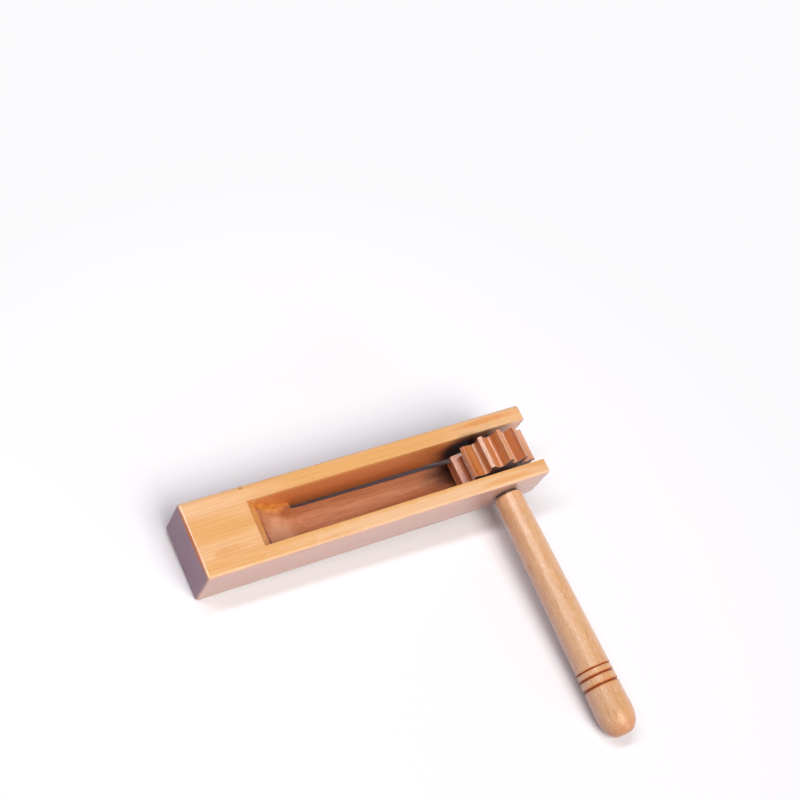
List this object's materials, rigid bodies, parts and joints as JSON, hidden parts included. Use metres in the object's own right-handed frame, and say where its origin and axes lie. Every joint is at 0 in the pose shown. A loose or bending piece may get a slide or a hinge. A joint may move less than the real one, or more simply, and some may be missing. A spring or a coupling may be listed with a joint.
{
  "type": "gragger noisemaker",
  "caption": "Wooden ratchet noisemaker: a slotted frame holds a toothed cog on a turned handle, and a springy tongue that clacks as the handle is whirled.",
  "frame": {"origin": "under the middle of the part's box, on the surface that its cog lies on", "axes": "+X from the solid butt to the arm ends, -Y along the handle to its tip, +Z out of the slot's open face"},
  "size_m": [0.14, 0.1262, 0.0304],
  "materials": {
    "frame_wood": "satin lacquer over fine straight grain",
    "tongue_wood": "planed, thin lacquer, flat-sawn grain",
    "cog_wood": "sawn and milled, rough end grain in the valleys",
    "handle_wood": "turned, satin lacquer, burnt grooves"
  },
  "bodies": {
    "frame": {"frame": "frame_wood"},
    "tongue": {"tongue": "tongue_wood"},
    "rotor": {"cog": "cog_wood", "handle": "handle_wood"}
  },
  "joints": [
    {"name": "handle_spin", "type": "hinge", "parent": "frame", "child": "rotor", "pos_m": [0.0542, 0.0341, 0.0152], "axis": [0, 1, 0], "continuous": true},
    {"name": "tongue_flex", "type": "hinge", "parent": "frame", "child": "tongue", "pos_m": [-0.04154, 0.0483, 0.00748], "axis": [0, 1, 0], "range_deg": [0, 2.6], "stiffness_Nm_per_rad": 1}
  ]
}
